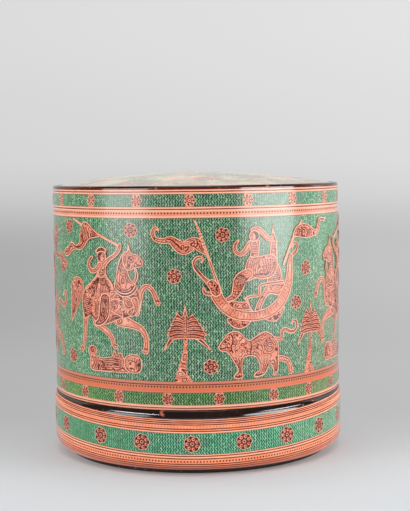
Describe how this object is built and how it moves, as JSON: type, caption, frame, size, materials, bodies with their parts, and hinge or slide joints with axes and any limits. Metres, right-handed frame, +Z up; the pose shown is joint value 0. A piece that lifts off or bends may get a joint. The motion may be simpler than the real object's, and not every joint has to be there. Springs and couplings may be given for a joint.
{
  "type": "lacquer betel box",
  "caption": "Round lacquered bamboo betel box: a deep domed cover slides down over a tall neck on a banded plinth, with shallow lift-out trays stacked inside the neck.",
  "frame": {"origin": "centre of the foot, on the surface that the box stands on", "axes": "+Z up along the box's axis, the decorated front towards -Y"},
  "size_m": [0.2148, 0.2148, 0.2041],
  "materials": {
    "green_lacquer": "polished green lacquer with incised orange figures over wound bamboo",
    "orange_lacquer": "polished orange lacquer with fine incised lines over wound bamboo",
    "black_lacquer": "polished black lacquer, worn to brown at the edges",
    "red_lacquer": "plain satin red lacquer over wound bamboo"
  },
  "bodies": {
    "base": {"plinth_wall": "orange_lacquer", "plinth_bead": "black_lacquer", "foot_hoop": "black_lacquer", "floor_hoop": "black_lacquer", "base_floor": "red_lacquer", "neck_wall": "red_lacquer", "neck_rim_hoop": "black_lacquer", "tray_ledge_hoop": "red_lacquer"},
    "cover": {"cover_wall": "green_lacquer", "cover_mouth_hoop": "orange_lacquer", "cover_shoulder_hoop": "black_lacquer", "cover_crown": "orange_lacquer", "crown_seat_hoop": "red_lacquer"},
    "upper_tray": {"upper_tray_wall": "red_lacquer", "upper_tray_rim_hoop": "black_lacquer", "upper_tray_foot_hoop": "red_lacquer", "upper_tray_floor": "red_lacquer"},
    "lower_tray": {"lower_tray_wall": "red_lacquer", "lower_tray_rim_hoop": "black_lacquer", "lower_tray_foot_hoop": "red_lacquer", "lower_tray_floor": "red_lacquer"}
  },
  "joints": [
    {"name": "cover_lift", "type": "slide", "parent": "base", "child": "cover", "axis": [0, 0, 1], "range_m": [0, 0.25]},
    {"name": "upper_tray_lift", "type": "slide", "parent": "base", "child": "upper_tray", "axis": [0, 0, 1], "range_m": [0, 0.095]},
    {"name": "lower_tray_lift", "type": "slide", "parent": "base", "child": "lower_tray", "axis": [0, 0, 1], "range_m": [0, 0.075]}
  ],
  "couplings": [
    {"joint": "upper_tray_lift", "follows": "cover_lift", "ratio": 0.38},
    {"joint": "lower_tray_lift", "follows": "cover_lift", "ratio": 0.3}
  ]
}
